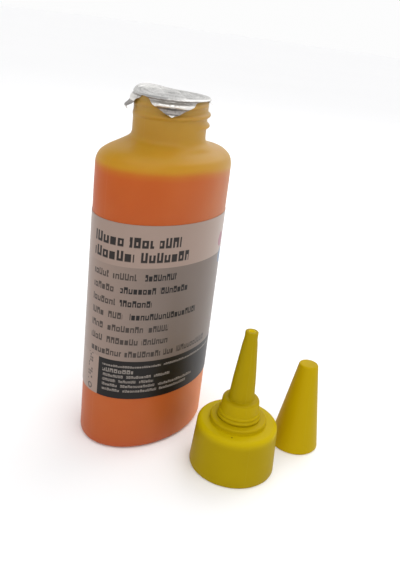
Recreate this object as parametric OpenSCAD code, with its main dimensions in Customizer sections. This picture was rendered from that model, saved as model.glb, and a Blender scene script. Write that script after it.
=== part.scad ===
// Oval squeeze bottle of ink with a foil-sealed screw neck, and beside it the long nozzle
// cap and the tip cover that close it. The bottle's axis is +Z, its base lies on z = 0, the
// long axis of its oval section lies along X, and the cap stands in front of its broad face.

/* [Bottle body] */
// Long axis of the oval section
body_w = 47.8; // [40:0.2:70]
// Short axis of the oval section
body_d = 33; // [27:0.2:45]
// Height at which the straight wall turns into the shoulder
wall_h = 87.8; // [60:0.2:120]
// Wall thickness of the blown body
wall = 0.9; // [0.6:0.05:1.4]
// Radius of the edge around the base
base_edge_r = 1.6; // [0.5:0.1:3]
// Radius of the shoulder's edge, across the short axis
shoulder_r = 5; // [2:0.1:7]
// Slope of the shoulder where its round edge ends, in degrees
shoulder_slope = 16; // [8:1:30]

/* [Neck] */
// Outer diameter of the neck wall, between the threads
neck_d = 21.4; // [18:0.1:24]
// Wall thickness of the neck
neck_wall = 1.6; // [1:0.05:2.5]
// Height of the neck, from where the cap's mouth stops to the rim
neck_h = 12.6; // [10:0.1:18]
// Radius of the flare at the neck's foot
neck_flare_r = 2; // [1:0.1:3]
// Width of the shoulder's round top around the neck
neck_foot = 1.4; // [0.8:0.1:3]
// Rise from the shoulder's round edge to the foot of the neck
neck_foot_rise = 1.5; // [0.5:0.1:4]

/* [Thread] */
// Rise of the thread in one turn
pitch = 3; // [2:0.1:4]
// Turns of thread on the neck
neck_turns = 2.1; // [1:0.1:3]
// Turns of thread inside the cap
cap_turns = 2.3; // [1:0.1:3]
// Width of a thread at its foot
thread_foot = 1.7; // [1:0.1:2.2]
// Width of a thread at its crest
thread_crest = 0.6; // [0.3:0.1:1]
// Height of the neck's thread above the neck wall
thread_depth = 1.1; // [0.6:0.05:1.5]
// Gap between mating threads
thread_clearance = 0.1; // [0.05:0.05:0.3]

/* [Contents and label] */
// Level of the ink above the shoulder's edge, less than zero for a part-used bottle
fill_over = 0.2; // [-70:0.1:4]
// Height of the label's lower edge
label_z = 18.6; // [5:0.1:40]
// Plain wall between the label and the shoulder's edge
label_top_gap = 13.7; // [2:0.1:40]
// Thickness of the label
label_t = 0.12; // [0.08:0.01:0.3]
// Open seam between the label's two ends
label_seam = 1; // [0.4:0.1:6]

/* [Foil seal] */
// Width by which the square foil stands past the neck on each side
foil_overhang = 1.3; // [0.6:0.1:3]
// Thickness of the foil
foil_t = 0.16; // [0.08:0.01:0.4]
// Free space between the hanging foil and the thread
foil_clearance = 0.08; // [0.04:0.01:0.5]
// Width of a folded corner just under the rim
foil_point_w = 14; // [8:0.5:16]
// Turn of the square about the neck
foil_turn = 1; // [-45:1:45]

/* [Cap] */
// Wall thickness at the cap's mouth
cap_wall = 1.4; // [1.2:0.05:4]
// Width by which the skirt narrows towards the top on each side
cap_taper = 0.85; // [0:0.05:1]
// Thickness of the deck that closes the skirt
deck_t = 2; // [1:0.1:3]
// Radius of the edge around the deck
cap_edge_r = 1.5; // [0.3:0.1:2.5]
// Thickness of the sealing ring inside the cap
liner_t = 1.2; // [0.6:0.1:2]
// Width by which the sealing ring stands past the neck wall
liner_lap = 0.55; // [0.3:0.05:0.8]
// Gap around the sealing ring
liner_clearance = 0.05; // [0.02:0.01:0.1]

/* [Nozzle] */
// Diameter of the step on the deck
step_d = 17.4; // [14:0.1:20]
// Height of the step
step_h = 1.6; // [0.6:0.1:3]
// Diameter of the lower grip ring, which the cover snaps over
grip_d = 13.4; // [11:0.1:16]
// Height of each grip ring
grip_h = 1.2; // [0.6:0.1:2]
// Width by which the upper grip ring stands back from the lower one
grip_step = 0.3; // [0.1:0.05:0.6]
// Width by which the collar stands back from the upper grip ring
collar_step = 0.4; // [0.1:0.05:1]
// Width by which the collar narrows towards its top on each side
collar_taper = 0.35; // [0:0.05:0.8]
// Height of the collar above the grip rings
collar_h = 4; // [2:0.1:8]
// Diameter of the nozzle at its foot
nozzle_d = 7.8; // [6:0.1:9]
// Diameter of the nozzle at its tip
tip_d = 3.9; // [3:0.1:5]
// Length of the nozzle above the collar
nozzle_h = 22.4; // [14:0.2:34]
// Diameter of the outlet
outlet_d = 1.8; // [1:0.1:2.4]
// Length of the outlet's straight bore
outlet_l = 5; // [2:0.5:8]
// Wall thickness at the foot of the nozzle
nozzle_wall = 1; // [0.8:0.05:2]

/* [Tip cover] */
// Wall thickness of the cover
cover_wall = 0.95; // [0.7:0.05:1.5]
// Gap between the cover and the lower grip ring
cover_clearance = 0.06; // [0.03:0.01:0.2]
// Free space around the nozzle's tip inside the cover
cover_tip_side = 0.25; // [0.1:0.05:1]
// Thickness of the closed end
cover_top_t = 0.9; // [0.6:0.1:2]
// Free length between the nozzle's tip and the closed end
cover_tip_gap = 0.3; // [0.2:0.1:2]

/* [Arrangement] */
// Free distance between the bottle's broad face and the cap
cap_gap = 7.5; // [2:0.5:30]
// Distance of the cap from the middle of the broad face
cap_x = 1.6; // [-10:0.1:10]
// Free distance between the cap and the cover
cover_gap = 4.9; // [1:0.1:30]
// Direction from the cap to the cover, in degrees from +X
cover_angle = -18.7; // [-90:0.1:20]

/* [Hidden] */
$fn = 96;

skin = 0.02;                     // free space between ink or label and the shell's wall
half_w = body_w / 2;
half_d = body_d / 2;
neck_r = neck_d / 2;
bore_r = neck_r - neck_wall;
crest_r = neck_r + thread_depth;
foot_r = neck_r + neck_foot;
fill_h = wall_h + fill_over;
label_h = wall_h - label_top_gap - label_z;

// The shoulder's round edge is limited by the shoulder's width. It ends where its slope takes
// over and climbs to the foot of the neck.
slope_angle = 90 - shoulder_slope;
edge_r = min(shoulder_r, (half_d - foot_r) / (1 - cos(slope_angle)));
slope_z = wall_h + edge_r * sin(slope_angle);
foot_z = slope_z + neck_foot_rise;

// The cap's mouth stops just above the foot of the neck.
neck_z = foot_z + 0.5;
rim_z = neck_z + neck_h;

neck_thread_z = neck_z + 0.3 * neck_h + 0.95;
fade = 35;                       // degrees over which a thread's ends run out

foil_side = neck_d + 2 * foil_overhang;
foil_edge_r = neck_r + 0.15;
foil_turn_h = 1.3;               // height over which the foil bends outwards past the thread

// Cap, measured from its own mouth
liner_z = neck_h;
skirt_in_h = neck_h + liner_t;
deck_z = skirt_in_h + deck_t;
step_z = deck_z + step_h;
collar_z = step_z + 2 * grip_h;
nozzle_z = collar_z + collar_h;
tip_z = nozzle_z + nozzle_h;
upper_grip_d = grip_d - 2 * grip_step;
collar_d = upper_grip_d - 2 * collar_step;
collar_top_d = collar_d - 2 * collar_taper;
collar_edge_r = min(0.8, (collar_top_d - nozzle_d) / 2 - 0.4);
channel_d = nozzle_d - 2 * nozzle_wall;
root_r = crest_r + thread_clearance;
cap_d = 2 * (root_r + cap_wall);
cap_top_d = cap_d - 2 * cap_taper;
liner_d = neck_d + 2 * liner_lap;
recess_r = liner_d / 2 + liner_clearance;
cap_crest_r = neck_r + thread_clearance + 0.25;

cap_y = -(half_d + cap_gap + cap_d / 2);
cap_at = [cap_x, cap_y, 0];

// Cover: its inner wall clears the lower grip ring and tapers to the closed end.
cover_top_d = tip_d + 2 * (cover_tip_side + cover_wall);
cover_h = tip_z - step_z + cover_tip_gap + cover_top_t;
cover_taper_need = (grip_d / 2 + cover_clearance + cover_wall - cover_top_d / 2);
cover_r = cover_top_d / 2 + cover_taper_need * cover_h / (cover_h - grip_h);
cover_reach = cap_d / 2 + cover_gap + cover_r;
cover_at = cap_at + cover_reach * [cos(cover_angle), sin(cover_angle), 0];

// Points of an arc about [x, y], both ends included
function arc(x, y, r, from, to, steps = 8) =
    [for (i = [0:steps]) let (a = from + (to - from) * i / steps) [x + r * cos(a), y + r * sin(a)]];

// Oval outline, moved in from the body's outer face
function oval(inset, n = 72) = [for (i = [0:n - 1]) let (a = 360 * i / n)
    [(half_w - inset) * cos(a), (half_d - inset) * sin(a)]];

// Closed solid through rings that are stacked upwards and have the same number of points
module loft(rings) {
    n = len(rings[0]);
    last = n * (len(rings) - 1);
    sides = [for (k = [0:len(rings) - 2]) for (i = [0:n - 1])
                let (a = k * n + i, b = k * n + (i + 1) % n)
                for (f = [[a, b + n, b], [a, a + n, b + n]]) f];
    polyhedron([for (r = rings) for (p = r) p],
               concat(sides, [[for (i = [0:n - 1]) i], [for (i = [n - 1:-1:0]) last + i]]),
               convexity = 4);
}

// Rings of the oval body up to the foot of the neck, moved in from the outer face by t
function ring(outline, z) = [for (p = outline) [p[0], p[1], z]];
function body_rings(t) = concat(
    [for (s = arc(base_edge_r, base_edge_r, max(base_edge_r - t, 0.3), 270, 180, 4))
        ring(oval(s[0]), s[1])],
    [for (s = arc(edge_r, wall_h, edge_r - t, 180, 180 - slope_angle, 6))
        ring(oval(s[0]), s[1])],
    [ring([for (i = [0:71]) (foot_r - t) * [cos(5 * i), sin(5 * i)]], foot_z - t)]);

// Helical ridge that stands on a wall of radius foot and reaches radius crest
module thread(foot, crest, turns, z, start) {
    out = sign(crest - foot);
    steps = ceil(turns * 30);
    function ends(a) = min(1, a / fade, (turns * 360 - a) / fade);
    function reach(a) = foot + out * (abs(crest - foot) * ends(a) - 0.1 * (1 - ends(a)));
    function station(a) = let (sunk = foot - out * 0.3, y = z + pitch * a / 360) [
        for (p = [[sunk, -thread_foot / 2], [reach(a), -thread_crest / 2],
                  [reach(a), thread_crest / 2], [sunk, thread_foot / 2]])
            [p[0] * cos(start + a), p[0] * sin(start + a), y + p[1]]];
    stations = [for (i = [0:steps]) station(turns * 360 * i / steps)];
    points = [for (s = stations) for (p = s) p];
    sides = [for (i = [0:steps - 1]) for (k = [0:3])
                let (a = 4 * i + k, b = 4 * i + (k + 1) % 4)
                for (f = [[a, b, b + 4], [a, b + 4, a + 4]]) out > 0 ? f : [f[2], f[1], f[0]]];
    last = 4 * steps;
    caps = out > 0 ? [[3, 2, 1, 0], [last, last + 1, last + 2, last + 3]]
                   : [[0, 1, 2, 3], [last + 3, last + 2, last + 1, last]];
    polyhedron(points, concat(sides, caps), convexity = 6);
}

// Round neck whose foot flares out into the shoulder
module neck_blank()
    rotate_extrude()
        polygon(concat(
            [[0, foot_z - 3], [neck_r, foot_z - 3], [foot_r - 0.3, foot_z - 0.5]],
            arc(neck_r + neck_flare_r, foot_z + neck_flare_r - 0.1, neck_flare_r, 235, 180, 6),
            [[neck_r, rim_z - 0.3], [neck_r - 0.3, rim_z], [0, rim_z]]));

module bottle_shell()
    color([0.93, 0.88, 0.76, 0.5])
        difference() {
            union() {
                loft(body_rings(0));
                neck_blank();
                thread(neck_r, crest_r, neck_turns, neck_thread_z, -95);
            }
            loft(body_rings(wall));
            translate([0, 0, foot_z - wall - 0.5])
                cylinder(r = bore_r, h = neck_h + wall + 2);
        }

module ink_fill()
    color([0.85, 0.38, 0.12])
        intersection() {
            loft(body_rings(wall + skin));
            translate([-half_w, -half_d, 0])
                cube([body_w, body_d, fill_h]);
        }

module wrap_label()
    color([0.7, 0.64, 0.58])
        translate([0, 0, label_z])
            linear_extrude(label_h)
                difference() {
                    polygon(oval(-skin - label_t));
                    polygon(oval(-skin));
                    translate([-label_seam / 2, 0])
                        square([label_seam, body_d]);
                }

// Foil folded down around the rim: it clears the thread and reaches drop below the rim
module foil_skirt(drop) {
    lip = foil_edge_r + foil_t;
    hang = crest_r + foil_clearance;
    rotate_extrude()
        polygon([[0, rim_z], [foil_edge_r, rim_z], [hang, rim_z - foil_turn_h], [hang, rim_z - drop],
                 [hang + foil_t, rim_z - drop], [hang + foil_t, rim_z - foil_turn_h],
                 [lip, rim_z + foil_t], [0, rim_z + foil_t]]);
}

// The square's corners hang as points, and its sides fold down by a narrow hem
module foil_seal() {
    corner_drop = foil_side / sqrt(2) - foil_edge_r;
    color([0.8, 0.8, 0.8])
        union() {
            foil_skirt(foil_turn_h + 0.2);
            for (k = [0, 1])
                intersection() {
                    foil_skirt(corner_drop);
                    rotate(foil_turn + 45 + 90 * k)
                        rotate([90, 0, 90])
                            translate([0, rim_z, -foil_side])
                                linear_extrude(2 * foil_side)
                                    polygon([[-foil_point_w / 2, 0.5], [-foil_point_w / 2, -foil_turn_h],
                                             [-0.3, -corner_drop], [0.3, -corner_drop],
                                             [foil_point_w / 2, -foil_turn_h], [foil_point_w / 2, 0.5]]);
                }
        }
}

module cap_liner()
    color([0.95, 0.95, 0.92])
        translate(cap_at + [0, 0, liner_z])
            difference() {
                cylinder(d = liner_d, h = liner_t);
                translate([0, 0, -1])
                    cylinder(d = channel_d, h = liner_t + 2);
            }

// Outer half section of the cap and its nozzle, from the mouth to the tip
function cap_outside() = concat(
    [[0, 0]],
    arc(cap_d / 2 - 0.5, 0.5, 0.5, -90, 0, 3),
    arc(cap_top_d / 2 - cap_edge_r, deck_z - cap_edge_r, cap_edge_r, 0, 90, 6),
    [[step_d / 2, deck_z]],
    arc(step_d / 2 - 0.5, step_z - 0.5, 0.5, 0, 90, 4),
    [[grip_d / 2 - grip_h / 4, step_z]],
    arc(grip_d / 2 - grip_h / 2, step_z + grip_h / 2, grip_h / 2, -60, 60, 6),
    arc(upper_grip_d / 2 - grip_h / 2, step_z + 1.5 * grip_h, grip_h / 2, -50, 50, 6),
    [[collar_d / 2, collar_z]],
    arc(collar_top_d / 2 - collar_edge_r, nozzle_z - collar_edge_r, collar_edge_r, 0, 90, 5),
    arc(nozzle_d / 2 + 0.3, nozzle_z + 0.3, 0.3, 270, 180, 3),
    [[nozzle_d / 2 - 0.5, nozzle_z + nozzle_h * 0.32], [tip_d / 2 + 0.3, tip_z - 3.9],
     [tip_d / 2 + 0.03, tip_z - 2.4]],
    arc(tip_d / 2 - 0.25, tip_z - 0.25, 0.25, 0, 90, 3),
    [[0, tip_z]]);

// Inner half section: threaded skirt, recess for the sealing ring, channel and outlet
function cap_inside() = [
    [0, -1], [root_r + 0.5, -1], [root_r + 0.5, 0], [root_r, 0.6],
    [root_r, liner_z - 1.4], [recess_r, liner_z - 0.7], [recess_r, skirt_in_h],
    [channel_d / 2, skirt_in_h], [channel_d / 2, nozzle_z + 0.5],
    [outlet_d / 2, tip_z - outlet_l], [outlet_d / 2, tip_z + 1], [0, tip_z + 1]];

module nozzle_cap()
    color([0.78, 0.66, 0.07])
        translate(cap_at)
            union() {
                difference() {
                    rotate_extrude()
                        polygon(cap_outside());
                    rotate_extrude()
                        polygon(cap_inside());
                }
                thread(root_r, cap_crest_r, cap_turns, 2.4, 40);
            }

function cover_outside() = concat(
    [[0, 0], [cover_r - 0.3, 0], [cover_r - 0.01, 0.4]],
    arc(cover_top_d / 2 - 0.7, cover_h - 0.7, 0.7, 10, 90, 5),
    [[0, cover_h]]);

function cover_inside() = [
    [0, -1], [cover_r - cover_wall, -1], [cover_r - cover_wall, 0],
    [cover_top_d / 2 - cover_wall, cover_h],
    [0, cover_h]];

module tip_cover()
    color([0.8, 0.66, 0.05])
        translate(cover_at)
            difference() {
                rotate_extrude()
                    polygon(cover_outside());
                intersection() {
                    rotate_extrude()
                        polygon(cover_inside());
                    translate([0, 0, -1])
                        cylinder(r = cover_r, h = cover_h - cover_top_t + 1);
                }
            }

bottle_shell();
ink_fill();
wrap_label();
foil_seal();
cap_liner();
nozzle_cap();
tip_cover();
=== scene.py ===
"""Oval squeeze bottle of ink with a crinkled foil seal, its nozzle cap and the tip cover."""

import math
from random import Random

import bpy
import numpy as np
from mathutils import Matrix, Vector, noise


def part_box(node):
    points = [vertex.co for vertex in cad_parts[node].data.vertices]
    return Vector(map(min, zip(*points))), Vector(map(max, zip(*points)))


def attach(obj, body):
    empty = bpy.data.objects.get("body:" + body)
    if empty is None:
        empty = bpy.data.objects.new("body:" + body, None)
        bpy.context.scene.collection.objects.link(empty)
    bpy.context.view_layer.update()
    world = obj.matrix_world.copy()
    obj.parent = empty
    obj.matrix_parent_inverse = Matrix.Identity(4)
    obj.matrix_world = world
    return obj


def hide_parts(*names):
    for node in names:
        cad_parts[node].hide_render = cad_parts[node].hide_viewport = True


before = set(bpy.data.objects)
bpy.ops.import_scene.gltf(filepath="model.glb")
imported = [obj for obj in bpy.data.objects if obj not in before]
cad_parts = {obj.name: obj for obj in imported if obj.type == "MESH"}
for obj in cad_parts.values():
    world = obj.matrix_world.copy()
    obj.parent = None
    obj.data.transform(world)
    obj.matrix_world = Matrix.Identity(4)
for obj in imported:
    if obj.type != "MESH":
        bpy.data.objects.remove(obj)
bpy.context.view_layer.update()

MM = 0.001
COPY_MERGE = 0.002 * MM


# ---------------------------------------------------------------- hand tools


def paint(red, green, blue):
    """Linear colour from the 0-255 values of a paint chip."""

    def linear(value):
        v = value / 255
        return v / 12.92 if v <= 0.04045 else ((v + 0.055) / 1.055) ** 2.4

    return (linear(red), linear(green), linear(blue), 1.0)


def clear_selection():
    """Leaves edit mode and deselects everything."""
    if bpy.context.object and bpy.context.object.mode != "OBJECT":
        bpy.ops.object.mode_set(mode="OBJECT")
    bpy.ops.object.select_all(action="DESELECT")


def hold(piece):
    """Only this piece is selected and active."""
    clear_selection()
    piece.select_set(True)
    bpy.context.view_layer.objects.active = piece


def named(name):
    """Names the object just added and its mesh."""
    piece = bpy.context.object
    piece.name = name
    piece.data.name = name
    return piece


def smooth_copy(node, name, angle):
    """Merged copy of a CAD node, shaded smooth up to that angle."""
    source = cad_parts[node]
    piece = bpy.data.objects.new(name, source.data.copy())
    piece.data.name = name
    bpy.context.scene.collection.objects.link(piece)
    hold(piece)
    bpy.ops.object.mode_set(mode="EDIT")
    bpy.ops.mesh.select_all(action="SELECT")
    bpy.ops.mesh.remove_doubles(threshold=COPY_MERGE)
    bpy.ops.object.mode_set(mode="OBJECT")
    if piece.data.has_custom_normals:
        bpy.ops.mesh.customdata_custom_splitnormals_clear()
    bpy.ops.object.shade_smooth_by_angle(angle=math.radians(angle))
    piece.data.materials.clear()
    return piece


def shaped_sheet(name, columns, rows, place):
    """Grid of columns x rows whose points are moved to place(u, v), with u and v from 0 to 1."""
    clear_selection()
    bpy.ops.mesh.primitive_grid_add(
        x_subdivisions=columns, y_subdivisions=rows, size=1, location=(0, 0, 0)
    )
    piece = named(name)
    for vertex in piece.data.vertices:
        vertex.co = place(vertex.co.x + 0.5, vertex.co.y + 0.5)
    return piece


def join_seam(piece, gap):
    """Merges the points that meet and turns the faces outwards."""
    hold(piece)
    bpy.ops.object.mode_set(mode="EDIT")
    bpy.ops.mesh.select_all(action="SELECT")
    bpy.ops.mesh.remove_doubles(threshold=gap)
    bpy.ops.mesh.normals_make_consistent(inside=False)
    bpy.ops.object.mode_set(mode="OBJECT")


def apply_modifier(piece, kind, **settings):
    """Adds one modifier with its settings and applies it."""
    hold(piece)
    modifier = piece.modifiers.new(kind.title(), kind)
    for key, value in settings.items():
        setattr(modifier, key, value)
    bpy.ops.object.modifier_apply(modifier=modifier.name)


def smooth_step(edge_low, edge_high, value):
    """0 up to the low edge, 1 from the high edge, smooth between them."""
    t = min(1.0, max(0.0, (value - edge_low) / (edge_high - edge_low)))
    return t * t * (3 - 2 * t)


# ---------------------------------------------------------------- finishes


class Flow:
    """An output socket. Operators on it add the Math nodes of the expression."""

    def __init__(self, finish, socket):
        self.finish = finish
        self.socket = socket

    def math(self, operation, *values):
        inputs = {i: value for i, value in enumerate((self, *values))}
        return self.finish.node("Math", {"operation": operation}, inputs)

    def __add__(self, other):
        return self.math("ADD", other)

    __radd__ = __add__

    def __sub__(self, other):
        return self.math("SUBTRACT", other)

    def __rsub__(self, other):
        return self.finish.node("Math", {"operation": "SUBTRACT"}, {0: other, 1: self})

    def __mul__(self, other):
        return self.math("MULTIPLY", other)

    __rmul__ = __mul__

    def __truediv__(self, other):
        return self.math("DIVIDE", other)

    def __lt__(self, other):
        return self.math("LESS_THAN", other)

    def __gt__(self, other):
        return self.math("GREATER_THAN", other)

    def __abs__(self):
        return self.math("ABSOLUTE")

    def floor(self):
        return self.math("FLOOR")

    def fraction(self):
        return self.math("FRACT")

    def either(self, other):
        return self.math("MAXIMUM", other)

    def rise(self, low, high):
        """0 below low, 1 above high, smooth between them."""
        settings = {"interpolation_type": "SMOOTHSTEP", "clamp": True}
        return self.finish.node(
            "MapRange", settings, {"Value": self, "From Min": low, "From Max": high}
        )

    def within(self, low, high, soft):
        """1 between low and high, with soft edges."""
        half = soft / 2
        return self.rise(low - half, low + half) * (1 - self.rise(high - half, high + half))


class Finish:
    """A material, built node by node round its Principled shader."""

    def __init__(self, name, **constants):
        self.material = bpy.data.materials.new(name)
        self.material.use_nodes = True
        self.tree = self.material.node_tree
        self.shader = self.tree.nodes["Principled BSDF"]
        for key, value in constants.items():
            socket_name = key.replace("_", " ").title().replace("Ior", "IOR")
            self.shader.inputs[socket_name].default_value = value

    def node(self, kind, settings=None, inputs=None, output=0):
        """Adds a node with its settings, then the values or links of its sockets."""
        made = self.tree.nodes.new("ShaderNode" + kind)
        for key, value in (settings or {}).items():
            if key == "stops":
                ramp = made.color_ramp
                while len(ramp.elements) < len(value):
                    ramp.elements.new(0.5)
                for element, (position, colour) in zip(ramp.elements, value):
                    element.position = position
                    element.color = colour
            else:
                setattr(made, key, value)
        for key, value in (inputs or {}).items():
            self.feed(made.inputs[key], value)
        return Flow(self, made.outputs[output])

    def feed(self, socket, value):
        """Links a Flow to the socket, or sets the socket's own value."""
        if isinstance(value, Flow):
            self.tree.links.new(value.socket, socket)
        else:
            socket.default_value = value

    def set(self, name, value):
        self.feed(self.shader.inputs[name], value)

    def place(self):
        """Object coordinates as a vector and as X, Y and Z in millimetres."""
        vector = self.node("TexCoord", output=3)
        in_mm = self.node(
            "VectorMath", {"operation": "SCALE"}, {"Vector": vector, "Scale": 1000.0}
        )
        axes = [self.node("SeparateXYZ", None, {0: in_mm}, output=i) for i in range(3)]
        return in_mm, axes

    def mix(self, factor, first, second):
        """Colour that goes from the first to the second with the factor."""
        settings = {"data_type": "RGBA", "blend_type": "MIX", "clamp_factor": True}
        return self.node("Mix", settings, {0: factor, 6: first, 7: second}, output=2)

    def cloud(self, vector, scale, detail=2.0, rough=0.5):
        """Noise from 0 to 1 whose features are scale millimetres wide."""
        return self.node(
            "TexNoise",
            None,
            {"Vector": vector, "Scale": 1.0 / scale, "Detail": detail, "Roughness": rough},
        )

    def bump(self, height):
        """Normal of a surface raised by that many millimetres."""
        return self.node("Bump", None, {"Height": height, "Distance": MM, "Strength": 1.0})

    def give(self, piece):
        piece.data.materials.clear()
        piece.data.materials.append(self.material)

    def give_node(self, node):
        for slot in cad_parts[node].material_slots:
            slot.material = self.material


# ---------------------------------------------------------------- camera, floor and light

CAMERA_AT = (-0.146047, -0.122709, 0.128016)
CAMERA_AZIMUTH = -54.3262
CAMERA_PITCH = 22.2619
CAMERA_ROLL = 7.2097
CAMERA_LENS = 40.908
SENSOR_WIDTH = 36
CEILING_STRENGTH = 1.3
CEILING_SPREAD = 70
CEILING_TILT = (16, -14)

camera_data = bpy.data.cameras.new("camera")
camera_data.lens = CAMERA_LENS
camera_data.sensor_width = SENSOR_WIDTH
camera_data.sensor_fit = "AUTO"
camera_data.clip_start = 0.005
camera_data.clip_end = 50
camera = bpy.data.objects.new("camera", camera_data)
bpy.context.scene.collection.objects.link(camera)
camera.matrix_world = Matrix.Translation(CAMERA_AT) @ (
    Matrix.Rotation(math.radians(CAMERA_AZIMUTH), 4, "Z")
    @ Matrix.Rotation(math.radians(90 - CAMERA_PITCH), 4, "X")
    @ Matrix.Rotation(math.radians(CAMERA_ROLL), 4, "Z")
)
bpy.context.scene.camera = camera
bpy.context.scene.view_settings.view_transform = "Standard"


def soft_light(name, at, aim, side, watts):
    """Square area light at one place, aimed at another."""
    data = bpy.data.lights.new(name, "AREA")
    data.shape = "SQUARE"
    data.size = side
    data.energy = watts
    light = bpy.data.objects.new(name, data)
    bpy.context.scene.collection.objects.link(light)
    light.visible_camera = False
    light.location = at
    light.rotation_euler = (Vector(aim) - Vector(at)).to_track_quat("-Z", "Y").to_euler()
    return light


sky_data = bpy.data.lights.new("ceiling_softbox", "SUN")
sky_data.energy = CEILING_STRENGTH
sky_data.angle = math.radians(CEILING_SPREAD)
sky_light = bpy.data.objects.new("ceiling_softbox", sky_data)
bpy.context.scene.collection.objects.link(sky_light)
sky_light.rotation_euler = (*(math.radians(tilt) for tilt in CEILING_TILT), 0)
soft_light("right_softbox", (0.40, 0.02, 0.42), (0.22, 0.0, 0), 0.45, 1.25)
soft_light("front_softbox", (-0.62, -0.62, 0.40), (0, -0.02, 0.04), 0.8, 0.5)


WALL_LIGHT = (0.98, 0.98, 0.98, 1)
CEILING_LIGHT = (0.48, 0.48, 0.49, 1)
FLOOR_SIDE = 12
FLOOR_DROP = 0.02 * MM


def build_world():
    """Pale studio walls round the horizon and a dimmer ceiling."""
    world = bpy.data.worlds.new("studio")
    bpy.context.scene.world = world
    world.use_nodes = True
    tree = world.node_tree
    background = tree.nodes["Background"]
    studio = Finish.__new__(Finish)  # only its node methods, on the world's own tree
    studio.tree = tree
    direction = studio.node("TexCoord", output=0)
    height = studio.node("SeparateXYZ", None, {0: direction}, output=2)
    shade = studio.mix(height.rise(0.3, 0.7), WALL_LIGHT, CEILING_LIGHT)
    studio.feed(background.inputs["Color"], shade)
    background.inputs["Strength"].default_value = 1.0


build_world()

clear_selection()
bpy.ops.mesh.primitive_plane_add(size=FLOOR_SIDE, location=(0, 0, -FLOOR_DROP))
floor = named("floor")
floor_finish = Finish("studio_floor", roughness=0.9, specular_ior_level=0.05)
floor_spot, _ = floor_finish.place()
floor_finish.set(
    "Base Color",
    floor_finish.mix(
        floor_finish.cloud(floor_spot, 300.0), (0.96, 0.96, 0.96, 1), (0.98, 0.98, 0.98, 1)
    ),
)
floor_finish.give(floor)


# ---------------------------------------------------------------- sizes taken from the model

shell_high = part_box("bottle_shell")[1]
label_low, label_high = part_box("wrap_label")
cap_low, cap_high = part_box("nozzle_cap")
cover_low, cover_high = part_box("tip_cover")

RIM_Z = shell_high.z
CAP_AT = (cap_low + cap_high) / 2
COVER_AT = (cover_low + cover_high) / 2


# ---------------------------------------------------------------- blow-moulded bottle


# All in millimetres; angles as named
NECK_R = 10.7
BORE_R = 9.1
THREAD_HIGH = 1.0
THREAD_SHARP_SIDE = math.radians(-54)
THREAD_START = math.radians(-95)
THREAD_Z = RIM_Z / MM - 7.87
THREAD_PITCH = 3.0
THREAD_TURNS = 2.1
THREAD_FADE = math.radians(35)
HALF_W = shell_high.x / MM
HALF_D = shell_high.y / MM
WALL = 0.9
WALL_TOP = 87.8
BASE_EDGE = 1.6
SHOULDER_EDGE = 5.0
SHOULDER_SWEEP = 74
FOOT_R = 12.1
FOOT_Z = RIM_Z / MM - 13.1
FLARE_R = 2.0
BOTTLE_COLUMNS = 240
EASE_ROUNDS = 10
SWAY = 0.10
SWAY_FROM, SWAY_FULL = 76, 82


def oval_row(inset, z, share=1.0):
    """Row of the body, inset from its outside and shrunk to that share."""
    return ("oval", inset, z, share)


def round_row(radius, z):
    """Round row of the neck."""
    return ("round", radius, z, 1.0)


def mixed_row(inset, radius, z, blend):
    """Row of the shoulder, part way from the oval to the round."""
    return ("mixed", (inset, radius), z, blend)


def edge_arc(size, centre_z, start, end, steps):
    """Insets and heights along the quarter round of an oval edge, angles in degrees."""
    rows = []
    for i in range(steps + 1):
        a = math.radians(start + (end - start) * i / steps)
        rows.append((size + size * math.cos(a), centre_z + size * math.sin(a)))
    return rows


def body_rows(wall):
    """Rows from the middle of the base up to the foot of the neck, wall in from the outside."""
    base_r = max(BASE_EDGE - wall, 0.4)
    top_r = SHOULDER_EDGE - wall
    rows = [oval_row(BASE_EDGE, wall, share) for share in (0.0, 0.3, 0.6, 0.85, 0.97)]
    for inset, z in edge_arc(base_r, wall + base_r, 270, 180, 6):
        rows.append(oval_row(wall + inset, z))
    low = wall + base_r
    rows += [oval_row(wall, low + (WALL_TOP - low) * i / 30) for i in range(1, 30)]
    for inset, z in edge_arc(top_r, WALL_TOP, 180, 180 - SHOULDER_SWEEP, 12):
        rows.append(oval_row(wall + inset, z))
    inset, z = rows[-1][1], rows[-1][2]
    for i in range(1, 9):
        t = i / 8
        rows.append(mixed_row(inset, FOOT_R - wall, z + (FOOT_Z - wall - z) * t, t))
    return rows


outer_rows = body_rows(0.0)
SOFT_FROM = len(outer_rows) - 14
for i in range(7):
    bend = math.radians(235 - 55 * i / 6)
    outer_rows.append(
        round_row(
            NECK_R + FLARE_R + FLARE_R * math.cos(bend), FOOT_Z + 1.9 + FLARE_R * math.sin(bend)
        )
    )
SOFT_TO = len(outer_rows) + 2
NECK_FROM = FOOT_Z + 1.9
NECK_STEPS = 46
NECK_TO = RIM_Z / MM - 0.4
for i in range(1, NECK_STEPS + 1):
    outer_rows.append(round_row(NECK_R, NECK_FROM + (NECK_TO - NECK_FROM) * i / NECK_STEPS))
THREAD_LAST_ROW = len(outer_rows)
RIM = RIM_Z / MM
outer_rows += [
    round_row(NECK_R - 0.06, RIM - 0.18),
    round_row(NECK_R - 0.2, RIM - 0.05),
    round_row(NECK_R - 0.45, RIM),
    round_row(BORE_R + 0.35, RIM),
    round_row(BORE_R + 0.1, RIM - 0.1),
    round_row(BORE_R, RIM - 0.4),
]
outer_rows += [round_row(BORE_R, RIM - 0.4 - 13.3 * i / 10) for i in range(1, 11)]
inner_rows = body_rows(WALL)
inner_rows.reverse()
bottle_rows = outer_rows + inner_rows


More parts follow.
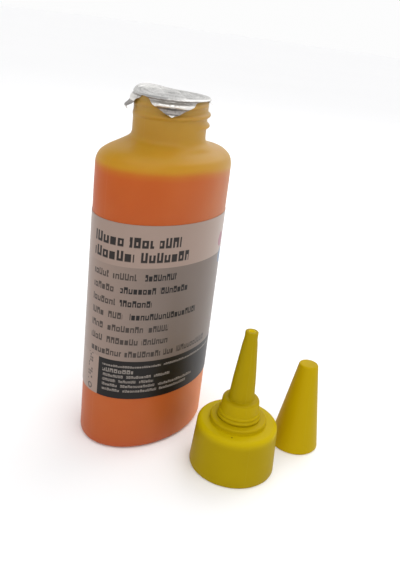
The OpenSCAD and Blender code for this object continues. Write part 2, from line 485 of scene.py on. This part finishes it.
def thread_relief(angle, z):
    """Share of the thread's height at that place on the neck, rounded as blown plastic is."""
    turned = (angle - THREAD_START) % (2 * math.pi)
    best = 0.0
    for lap in range(4):
        swept = turned + 2 * math.pi * lap
        left = 2 * math.pi * THREAD_TURNS - swept
        if left < 0:
            break
        ends = min(1.0, swept / THREAD_FADE, left / THREAD_FADE)
        away = abs(z - THREAD_Z - THREAD_PITCH * swept / (2 * math.pi))
        best = max(best, ends * (1 - smooth_step(0.12, 1.0, away)))
    return best


def row_point(row, angle):
    """Point of a row at that angle."""
    kind, size, z, share = row
    c, d = math.cos(angle), math.sin(angle)
    if kind == "round":
        return size * c, size * d, z
    inset, radius = size if kind == "mixed" else (size, 0)
    x, y = (HALF_W - inset) * c, (HALF_D - inset) * d
    if kind == "mixed":
        return x + (radius * c - x) * share, y + (radius * d - y) * share, z
    return x * share, y * share, z


def blown_points():
    """All points of the bottle, row by row, with the shoulder eased and the thread raised."""
    angles = [2 * math.pi * i / BOTTLE_COLUMNS for i in range(BOTTLE_COLUMNS + 1)]
    points = np.array([[row_point(row, a) for a in angles] for row in bottle_rows])
    for _ in range(EASE_ROUNDS):
        eased = points[SOFT_FROM:SOFT_TO]
        around = points[SOFT_FROM - 1 : SOFT_TO - 1] + points[SOFT_FROM + 1 : SOFT_TO + 1]
        points[SOFT_FROM:SOFT_TO] = 0.5 * eased + 0.25 * around
    for r in range(SOFT_TO - 4, THREAD_LAST_ROW):
        for c, a in enumerate(angles):
            strength = 0.50 + 0.34 * math.cos(a - THREAD_SHARP_SIDE)
            raised = THREAD_HIGH * strength * thread_relief(a, points[r, c, 2])
            length = math.hypot(points[r, c, 0], points[r, c, 1])
            points[r, c, :2] *= (length + raised) / length
    return points


bottle_points = blown_points()


def on_bottle(u, v):
    """Point of the bottle, with the slight unevenness of a blown neck and shoulder."""
    row = round(v * (len(bottle_rows) - 1))
    column = round(u * BOTTLE_COLUMNS)
    x, y, z = bottle_points[row, column]
    if z > SWAY_FROM and row < THREAD_LAST_ROW:
        sway = SWAY * noise.noise((x * 0.09, y * 0.09, z * 0.12))
        sway *= smooth_step(SWAY_FROM, SWAY_FULL, z)
        x, y = x * (1 + sway / HALF_W), y * (1 + sway / HALF_D)
    return Vector((x, y, z)) * MM


def bottle_finish():
    """Milky plastic with orange ink behind it up to the fill line."""
    f = Finish(
        "milky_bottle_plastic",
        specular_ior_level=0.24,
        subsurface_weight=0.3,
        subsurface_scale=0.003,
    )
    f.shader.inputs["Subsurface Radius"].default_value = (1.0, 0.5, 0.15)
    spot, (x, y, z) = f.place()
    wave = f.cloud(spot, 16.0, 2.0)
    level = z + (wave - 0.5) * 1.2 + 1.4 * x.rise(-6.0, 22.0)
    heights = f.node(
        "ValToRGB",
        {
            "stops": [
                (0.0, paint(166, 76, 34)),
                (0.03, paint(169, 81, 33)),
                (0.10, paint(170, 82, 30)),
                (0.70, paint(172, 79, 24)),
                (0.798, paint(176, 80, 14)),
                (0.812, paint(178, 94, 6)),
                (0.826, paint(180, 128, 10)),
                (0.850, paint(174, 128, 14)),
                (0.885, paint(173, 129, 27)),
                (0.93, paint(170, 129, 36)),
                (1.0, paint(156, 125, 62)),
            ]
        },
        {"Fac": level / 108.0},
    )
    cloud_and_painted_light = f.mix((wave - 0.35).rise(0.0, 0.5) * 0.10, heights, paint(200, 134, 82))
    # painted reflection: the side towards the right lamp is painted paler
    cloud_and_painted_light = f.mix(x.rise(-16.0, 26.0) * 0.34, cloud_and_painted_light, paint(160, 138, 96))
    # painted light: the lower right of the bottle, which the cap shades, is brightened
    painted_light_low_right = (1 - z.rise(26.0, 48.0)) * x.rise(-8.0, 14.0)
    cloud_and_painted_light = f.mix(painted_light_low_right * 0.7, cloud_and_painted_light, paint(236, 134, 62))
    seam = abs(y).within(-1.0, 0.10, 0.2) * (abs(x) > 6.0)
    f.set("Base Color", f.mix(seam * 0.04, cloud_and_painted_light, paint(226, 180, 130)))
    grain = f.cloud(spot, 0.5, 4.0, 0.6)
    f.set("Roughness", 0.38 + 0.12 * grain)
    ripple = f.cloud(spot, 9.0, 1.0)
    f.set("Normal", f.bump(grain * 0.010 + ripple * 0.10 + seam * 0.008))
    return f


bottle = shaped_sheet("blown_bottle", BOTTLE_COLUMNS, len(bottle_rows) - 1, on_bottle)
join_seam(bottle, 0.004 * MM)
bpy.ops.object.shade_smooth_by_angle(angle=math.radians(50))
bottle_finish().give(bottle)
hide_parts("bottle_shell")
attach(bottle, "bottle")


def ink_finish():
    """Glossy orange ink with a slow cloudiness and a film along its level."""
    f = Finish("orange_ink", specular_ior_level=0.5, roughness=0.08)
    spot, (x, y, z) = f.place()
    swirl = f.cloud(spot, 18.0, 3.0, 0.55)
    deep = f.mix(swirl, paint(176, 74, 20), paint(206, 104, 28))
    f.set("Base Color", f.mix(z.rise(84.0, 88.0) * 0.5, deep, paint(226, 140, 38)))
    f.set("Roughness", 0.05 + 0.07 * swirl)
    return f


ink_finish().give_node("ink_fill")


# ---------------------------------------------------------------- printed label


LABEL_HEIGHT = label_high.z - label_low.z
LABEL_THICK = 0.12 * MM
label_half_w = label_high.x - LABEL_THICK
label_half_d = -label_low.y - LABEL_THICK
LABEL_COLUMNS = 360
LABEL_ROWS = 10
LABEL_PATH_STEPS = 7200


def label_path(columns):
    """Points along the oval from the back seam round the front, and their lengths along it."""
    turns = np.linspace(-math.pi, math.pi, columns + 1)
    points = np.stack([label_half_w * np.sin(turns), -label_half_d * np.cos(turns)], 1)
    steps = np.hypot(*np.diff(points, axis=0).T)
    lengths = np.concatenate([[0], np.cumsum(steps)])
    return points, lengths


fine_points, fine_lengths = label_path(LABEL_PATH_STEPS)
LABEL_LENGTH = float(fine_lengths[-1])
SEAM_HALF = 0.3 * MM


def on_label(u, v):
    """Point of the label at u along its length and v up its height."""
    along = SEAM_HALF + u * (LABEL_LENGTH - 2 * SEAM_HALF)
    x = float(np.interp(along, fine_lengths, fine_points[:, 0]))
    y = float(np.interp(along, fine_lengths, fine_points[:, 1]))
    swell = 1 + 0.0007 * noise.noise((x * 90, y * 90, v * 4)) * math.sin(math.pi * v)
    return Vector((x * swell, y * swell, label_low.z + v * LABEL_HEIGHT))


label = shaped_sheet("printed_label", LABEL_COLUMNS, LABEL_ROWS, on_label)
apply_modifier(label, "SOLIDIFY", thickness=LABEL_THICK, offset=1.0)
hold(label)
bpy.ops.object.shade_smooth_by_angle(angle=math.radians(40))

# Rows of print: height of the base line, height of the letters, and where each word runs
TITLE_ROWS = [
    (67.5, 3.1, [(-35.0, -25.4), (-23.8, -16.9), (-15.3, -8.4)]),
    (63.2, 3.1, [(-35.0, -22.2), (-20.5, -5.2)]),
]
LINE_STEP = 4.1
FIRST_LINE = 33.0
LINE_WORDS = [
    [(-34.2, -23.7), (-22.7, -11.7), (-10.6, -7.2), (-5.8, 8.0)],
    [(-34.4, -29.9), (-28.6, -19.1), (-18.0, -9.4)],
    [(-34.4, -29.8), (-28.4, -17.9), (-16.5, -9.9)],
    [(-34.4, -29.9), (-28.6, -24.2), (-22.1, 0.5)],
    [(-34.5, -26.6), (-25.3, -16.0)],
    [(-34.5, -27.1), (-25.4, -14.9), (-13.8, -4.2)],
    [(-34.6, -29.2), (-27.8, -21.0), (-18.6, -8.9)],
]
BOX_LOW, BOX_HIGH = 18.7, 31.6
BOX_START, BOX_END = -30.6, 33.0
BOX_STEP = 1.62
BOX_FIRST = 20.9
BOX_LINES = [
    [(-29.0, -23.4), (-22.4, -11.8), (-10.8, 0.0)],
    [(-29.0, -24.2), (-23.2, -12.6), (-11.4, 2.8)],
    [(-29.0, -24.8), (-23.9, -18.6), (-17.6, -13.1)],
    [(-29.0, -22.6), (-21.6, -14.0), (-13.0, -7.5)],
]


def label_finish():
    """White film label: headline, seven lines of print, grey panel, black notice panel."""
    f = Finish("printed_film_label", specular_ior_level=0.25)
    uv = f.node("UVMap", {"uv_map": label.data.uv_layers[0].name})
    u = f.node("SeparateXYZ", None, {0: uv}, output=0)
    v = f.node("SeparateXYZ", None, {0: uv}, output=1)
    half = (LABEL_LENGTH / 2 - SEAM_HALF) / MM
    s = u * (2 * half) - half
    z = v * (LABEL_HEIGHT / MM) + label_low.z / MM
    along = f.node("CombineXYZ", None, {"X": s, "Y": z})

    def blocks(base, height, pitch, row_seed, slot_share=0.3):
        """Letter-sized blocks along a line of print."""
        step = s / pitch
        cell = step.floor()
        inside = step.fraction()
        rise = (z - base) / height
        key = f.node("CombineXYZ", None, {"X": cell, "Y": row_seed, "Z": 3.7})
        odds = f.node("TexWhiteNoise", {"noise_dimensions": "3D"}, {"Vector": key}, output=0)
        kind = (odds * 7).fraction()
        tall = 0.76 + 0.24 * (odds > 0.55)
        wide = 0.70 + 0.2 * odds
        body = inside.within(0.10, 0.92, 0.1) * (inside < wide + 0.16)
        solid = body * rise.within(0.0, 1.0, 0.12) * (rise < tall)
        slot_low = 0.24 - (kind < 0.34)
        slot_high = 0.56 + (kind > 0.7)
        slot = (abs(inside - 0.5) < slot_share / 2) * (rise > slot_low) * (rise < slot_high)
        slot = slot * (odds > 0.2)
        return solid * (1 - slot)

    def words(spans):
        total = None
        for low, high in spans:
            span = s.within(low, high, 0.15)
            total = span if total is None else total.either(span)
        return total

    title = None
    for base, height, spans in TITLE_ROWS:
        row = blocks(base, height, 2.28, base, 0.22) * words(spans)
        title = row if title is None else title.either(row)

    line = ((z - FIRST_LINE) / LINE_STEP).floor()
    base = line * LINE_STEP + FIRST_LINE
    letters = blocks(base, 2.1, 1.36, line)
    covered = None
    for number, spans in enumerate(LINE_WORDS):
        here = (abs(line - number) < 0.5) * words(spans)
        covered = here if covered is None else covered.either(here)
    lines = letters * covered
    bold = (
        z.within(48.8, 52.0, 0.1) * s.within(-25.3, -16.0, 0.1)
        + z.within(44.6, 47.8, 0.1) * s.within(-22.1, 0.5, 0.1)
        + z.within(57.0, 60.0, 0.1) * s.within(-18.6, -8.9, 0.1)
        + z.within(53.0, 56.0, 0.1) * s.within(-25.4, -4.2, 0.1)
    )

    box = z.within(BOX_LOW - 1, BOX_HIGH, 0.12) * s.within(BOX_START, BOX_END, 0.12)
    small = ((z - BOX_FIRST) / BOX_STEP).floor()
    small_base = small * BOX_STEP + BOX_FIRST
    small_letters = blocks(small_base, 0.95, 0.78, small + 40.0, 0.2)
    small_spans = None
    for number, spans in enumerate(BOX_LINES):
        here = (abs(small - number) < 0.5) * words(spans)
        small_spans = here if small_spans is None else small_spans.either(here)
    box_print = small_letters * small_spans
    heading = blocks(27.35, 1.35, 1.28, 77.0) * words([(-29.1, -19.7)])
    first = blocks(29.35, 0.72, 0.72, 91.0, 0.2) * words([(-29.3, -11.0), (-10.0, 13.7)])
    box_print = box_print.either(heading).either(first)

    # narrow column of small marks beside the notice panel
    up = z / 0.95
    column_key = f.node("CombineXYZ", None, {"X": up.floor(), "Y": (s / 0.8).floor(), "Z": 9.1})
    column_odds = f.node("TexWhiteNoise", {"noise_dimensions": "3D"}, {"Vector": column_key})
    column = (
        s.within(-34.9, -32.7, 0.1)
        * z.within(22.2, 31.8, 0.1)
        * up.fraction().within(0.1, 0.85, 0.1)
        * (s / 0.8).fraction().within(0.12, 0.88, 0.1)
        * (column_odds > 0.35)
    )
    ring_mark = (s + 33.8) * (s + 33.8) + (z - 20.3) * (z - 20.3)
    column = column.either(ring_mark.within(0.35, 1.1, 0.2))

    def drop(at_s, at_z, radius):
        """Round splash with a small tail upwards."""
        ds, dz = s - at_s, z - at_z
        narrow = 1 + 0.28 * dz.rise(0.0, 2.5 * radius)
        reach = ds * ds * narrow * narrow + dz * dz * (1 - 0.35 * dz.rise(0, radius))
        return 1 - reach.rise(0.8 * radius * radius, 1.05 * radius * radius)

    paper_cloud = f.cloud(along, 6.0, 3.0)
    film = f.mix(paper_cloud * 0.35, paint(148, 128, 117), paint(139, 119, 108))
    # painted light: the film is paler towards the side that faces the right lamp
    film = f.mix(s.rise(-8.0, 16.0) * 0.6, film, paint(168, 152, 142))
    panel = (
        z.within(FIRST_LINE - 1.4, 61.55, 0.1)
        * (0.12 + 0.88 * s.rise(-40.0, -6.0))
        * (1 - s.rise(31.0, 33.0))
    )
    colour = f.mix(panel * 0.87, film, paint(102, 91, 84))
    # coloured splashes at the right of the front
    colour = f.mix(drop(13.0, 65.5, 2.2) * 0.85, colour, paint(140, 66, 92))
    colour = f.mix(drop(15.0, 59.7, 2.5) * 0.85, colour, paint(70, 108, 140))
    colour = f.mix(drop(19.2, 64.4, 2.4) * 0.85, colour, paint(160, 138, 54))
    colour = f.mix(drop(21.4, 59.2, 1.7) * 0.85, colour, paint(70, 66, 68))
    ink = paint(16, 12, 12)
    colour = f.mix(title * 0.96, colour, ink)
    colour = f.mix(lines * (0.80 + 0.18 * bold), colour, ink)
    colour = f.mix(column * 0.7, colour, ink)
    colour = f.mix(box, colour, paint(17, 13, 12))
    colour = f.mix(box_print * 0.75, colour, paint(140, 131, 124))
    f.set("Base Color", colour)
    grain = f.cloud(along, 0.35, 2.0)
    f.set("Roughness", 0.30 + 0.10 * grain + 0.04 * box)
    soft_dent = f.cloud(along, 7.0, 1.0)
    printed = title.either(lines).either(box)
    f.set("Normal", f.bump(soft_dent * 0.05 + grain * 0.004 + printed * 0.004))
    return f


label_finish().give(label)
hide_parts("wrap_label")
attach(label, "bottle")


# ---------------------------------------------------------------- crinkled foil

FOIL_FLAT_R = 10.85 * MM
FOIL_HANG_R = 11.75 * MM
FOIL_CORNERS = [math.radians(a) for a in (-138, -52, 38, 138)]
FOIL_FRONT, FOIL_RIGHT, FOIL_BACK, FOIL_LEFT = FOIL_CORNERS
FOIL_THICK = 0.07 * MM
FOIL_OVER_RIM = 0.10 * MM
FOIL_RAISED_AT = math.radians(88)
FOIL_COLUMNS = 360
FOIL_TOP_ROWS = 30
FOIL_SKIRT_ROWS = 18
FOIL_ROWS = FOIL_TOP_ROWS + FOIL_SKIRT_ROWS
foil_dice = Random(11)
CREASES = [
    (
        foil_dice.uniform(0, math.pi),
        foil_dice.uniform(-9, 9) * MM,
        foil_dice.uniform(0.25, 0.7) * MM,
        foil_dice.uniform(-0.16, 0.20) * MM,
    )
    for _ in range(26)
]


def crease_height(x, y):
    """Sharp low ridges and valleys that cross the pressed foil."""
    total = 0.0
    for turn, offset, width, height in CREASES:
        away = abs(x * math.cos(turn) + y * math.sin(turn) - offset)
        total += height * math.exp(-away / width)
    return total


def angle_from(angle, corner):
    """Signed angle from the corner, from -pi to pi."""
    return (angle - corner + math.pi) % (2 * math.pi) - math.pi


def foil_lift(angle):
    """How far the edge of the foil stands off the rim, most at the back."""
    return 1.4 * MM * math.exp(-((angle_from(angle, FOIL_RAISED_AT) / 0.62) ** 2))


def foil_hang(angle):
    """How far the foil hangs down from its edge at that angle."""
    hang = 0.46 * MM + 0.2 * MM * noise.noise((math.cos(angle) * 3, math.sin(angle) * 3, 2.0))
    hang += 1.2 * foil_lift(angle)
    for corner, reach, width in (
        (FOIL_FRONT, 5.3, 9.3),
        (FOIL_RIGHT, 1.7, 5.5),
        (FOIL_BACK, 4.9, 7.2),
        (FOIL_LEFT, 5.9, 7.4),
    ):
        beside = abs(angle_from(angle, corner)) * FOIL_HANG_R / MM
        tip = reach * (1 - beside / width)
        ragged = 0.14 * noise.noise((angle * 23, reach, 0.3))
        hang = max(hang, (tip + ragged) * MM)
    return min(hang, 5.3 * MM)


def on_foil(u, v):
    """Point of the foil: v runs from the middle of the top over the rim to its hanging edge."""
    angle = 2 * math.pi * u
    row = v * FOIL_ROWS
    raised = foil_lift(angle)
    if row <= FOIL_TOP_ROWS:
        share = row / FOIL_TOP_ROWS
        radius = FOIL_FLAT_R * share
        x, y = radius * math.cos(angle), radius * math.sin(angle)
        on_rim = smooth_step(0.78, 0.95, share)
        crumple = crease_height(x, y) * (1 - 0.75 * on_rim)
        hollow = -0.25 * MM * (1 - share**2) + 0.35 * MM * noise.noise((x * 260, y * 260, 1.7)) * (
            1 - on_rim
        )
        return Vector((x, y, RIM_Z + 0.12 * MM + crumple + hollow + raised * share**3))
    down = (row - FOIL_TOP_ROWS) / FOIL_SKIRT_ROWS
    drop = foil_hang(angle) * down
    fall = drop / MM
    front = math.exp(-((angle_from(angle, FOIL_FRONT) / 0.5) ** 2))
    left = math.exp(-((angle_from(angle, FOIL_LEFT) / 0.34) ** 2))
    lip = (0.25 + 0.85 * front) * math.exp(-(((fall - 0.42) / 0.28) ** 2))
    lip *= smooth_step(0.0, 0.2, fall)
    outwards = 0.95 * smooth_step(1.0, 2.0, fall)
    pleats = noise.noise((math.cos(angle) * 7, math.sin(angle) * 7, fall * 0.5))
    bulge = 0.40 * math.exp(-(((fall - 2.0) / 0.5) ** 2))
    pinch = -0.50 * math.exp(-(((fall - 3.2) / 0.5) ** 2))
    curl = smooth_step(4.0, 5.0, fall)
    spread = lip + outwards + 0.10 * (pleats + 0.6) * smooth_step(0.6, 2.0, fall)
    spread += front * (bulge + pinch + 0.9 * curl)
    spread += left * 1.5 * math.exp(-(((fall - 4.4) / 0.95) ** 2))
    radius = FOIL_FLAT_R + spread * MM
    z = RIM_Z + FOIL_OVER_RIM + raised - drop
    z += front * MM * 0.45 * curl
    return Vector((radius * math.cos(angle), radius * math.sin(angle), z))


foil = shaped_sheet("crinkled_foil", FOIL_COLUMNS, FOIL_ROWS, on_foil)
join_seam(foil, 0.004 * MM)
apply_modifier(foil, "SOLIDIFY", thickness=FOIL_THICK, offset=1.0)
hold(foil)
bpy.ops.object.shade_smooth_by_angle(angle=math.radians(38))


def foil_finish():
    """Bright rolled aluminium with fine creases, painted highlights on its pressed rings, and
    painted shade and highlights on its hanging foil.
    """
    f = Finish("crinkled_aluminium", metallic=1.0)
    spot, (x, y, z) = f.place()
    fold = f.cloud(spot, 1.6, 4.0, 0.6)
    stretched = f.node("VectorMath", {"operation": "MULTIPLY"}, {0: spot, 1: (0.5, 9.0, 0.5)})
    rolled = f.node(
        "TexNoise",
        None,
        {"Vector": stretched, "Scale": 0.8, "Detail": 3.0},
    )
    far_out = f.node("Math", {"operation": "SQRT"}, {0: x * x + y * y})
    ring_spot = f.node("CombineXYZ", None, {"X": far_out * 1.5, "Y": x * 0.07, "Z": y * 0.07})
    rings = f.cloud(ring_spot, 1.0, 2.0)
    dull = f.mix(fold, paint(176, 175, 172), paint(192, 191, 189))
    streaks_and_painted_light = f.mix(rolled * 0.3, dull, paint(168, 166, 163))
    # painted highlight: the pressed rings, also raised by the bump, are painted paler
    ring_painted_highlight = rings.rise(0.48, 0.62) * far_out.rise(5.0, 9.5)
    streaks_and_painted_light = f.mix(ring_painted_highlight * 0.6, streaks_and_painted_light, paint(216, 215, 211))
    # painted light on the hanging foil: painted paler as a highlight, then painted shade under the
    # rim's lip and below the bulge, leaving painted bright bands on the bulge and the curled tip
    below = RIM_Z / MM - z + (fold - 0.5) * 0.5
    hanging = below.rise(0.1, 0.5)
    streaks_and_painted_light = f.mix(hanging, streaks_and_painted_light, paint(232, 229, 224))
    skirt_painted_shade = below.rise(0.2, 0.45) * (1 - 0.92 * below.within(0.9, 2.4, 0.4))
    skirt_painted_shade = skirt_painted_shade * (1 - 0.8 * below.rise(4.0, 4.3))
    f.set("Base Color", f.mix(skirt_painted_shade * 0.85, streaks_and_painted_light, paint(118, 112, 109)))
    f.set("Roughness", 0.26 + 0.22 * fold)
    facets = f.node(
        "TexVoronoi", {"feature": "DISTANCE_TO_EDGE"}, {"Vector": spot, "Scale": 0.55}, output=0
    )
    f.set("Normal", f.bump(fold * 0.10 + facets.rise(0.0, 0.12) * 0.05 + rings * 0.12))
    return f


foil_finish().give(foil)
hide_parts("foil_seal")
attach(foil, "foil")


# ---------------------------------------------------------------- nozzle cap, liner and cover


def yellow_finish(name, centre, pale=0.0, speck=None, deck=None, tip=None):
    """Moulded yellow plastic with a satin skin, flow clouds and a faint parting line.

    pale lightens the piece as painted light, more on its shaded left side; deck and tip are
    heights in millimetres, and deck brings a painted paler deck and collar and a painted glow in
    the outlet hole.
    """
    f = Finish(
        name,
        specular_ior_level=0.06,
        subsurface_weight=0.10,
        subsurface_scale=0.002,
    )
    f.shader.inputs["Subsurface Radius"].default_value = (1.0, 0.8, 0.1)
    spot, (x, y, z) = f.place()
    flow = f.cloud(spot, 8.0, 3.0)
    grain = f.cloud(spot, 0.35, 3.0, 0.6)
    base = f.mix(flow, paint(153, 129, 0), paint(162, 139, 1))
    side_x, side_y = x - centre.x / MM, y - centre.y / MM
    # painted light: lightens the piece, most on its left side, which the cap shades
    shade = 1 - (side_x * 0.58 - side_y * 0.81).rise(-6.0, 4.0)
    base = f.mix((0.4 + 0.6 * shade) * pale, base, paint(196, 164, 0))
    if deck is not None:
        # painted light: the deck, lit from above, is painted paler
        deck_painted_light = z.rise(deck - 3.2, deck - 0.2) * (1 - z.rise(deck + 0.1, deck + 1.2))
        base = f.mix(deck_painted_light, base, paint(184, 160, 2))
        # painted light: the collar above the deck is painted paler too
        base = f.mix(z.within(deck + 1.0, deck + 7.5, 0.6) * 0.45, base, paint(184, 158, 2))
        # painted glow: the inside of the outlet hole is painted much paler than the plastic
        off_axis = side_x * side_x + side_y * side_y
        bore_painted_glow = (1 - off_axis.rise(0.8, 1.1)) * z.rise(tip - 5.0, tip - 3.0)
        base = f.mix(bore_painted_glow, base, paint(240, 218, 40))
    seam = abs(side_y * 0.6 - side_x * 0.8).within(-1.0, 0.07, 0.12)
    base = f.mix(seam * 0.14, base, paint(176, 160, 50))
    if speck is not None:
        ds = [(axis - at / MM) for axis, at in zip((x, y, z), speck)]
        reach = ds[0] * ds[0] + ds[1] * ds[1] + ds[2] * ds[2]
        base = f.mix((1 - reach.rise(0.02, 0.12)) * 0.8, base, paint(70, 52, 20))
    f.set("Base Color", base)
    f.set("Roughness", 0.38 + 0.16 * grain)
    f.set("Normal", f.bump(grain * 0.010 + flow * 0.05 + seam * 0.02))
    return f


cap = smooth_copy("nozzle_cap", "yellow_nozzle_cap", 35)
CAP_DECK = 15.8
DECK_SPECK = CAP_AT + Vector((-9.2 * MM, -4.4 * MM, CAP_DECK * MM - CAP_AT.z))
yellow_finish(
    "satin_yellow_cap", CAP_AT, speck=DECK_SPECK, deck=CAP_DECK, tip=cap_high.z / MM
).give(cap)
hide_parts("nozzle_cap")
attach(cap, "cap")

cover = smooth_copy("tip_cover", "yellow_tip_cover", 35)
yellow_finish("satin_yellow_cover", COVER_AT, pale=0.8).give(cover)
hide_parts("tip_cover")
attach(cover, "cover")


def liner_finish():
    """White closed-cell foam of the sealing ring."""
    f = Finish("white_liner_foam", roughness=0.8, specular_ior_level=0.2)
    spot, _ = f.place()
    cells = f.node("TexVoronoi", {"feature": "F1"}, {"Vector": spot, "Scale": 5.0}, output=0)
    stain = f.cloud(spot, 3.0, 2.0)
    f.set("Base Color", f.mix(stain * 0.3, paint(226, 222, 208), paint(216, 196, 120)))
    f.set("Roughness", 0.7 + 0.2 * cells)
    f.set("Normal", f.bump(cells * 0.03))
    return f


liner_finish().give_node("cap_liner")

clear_selection()
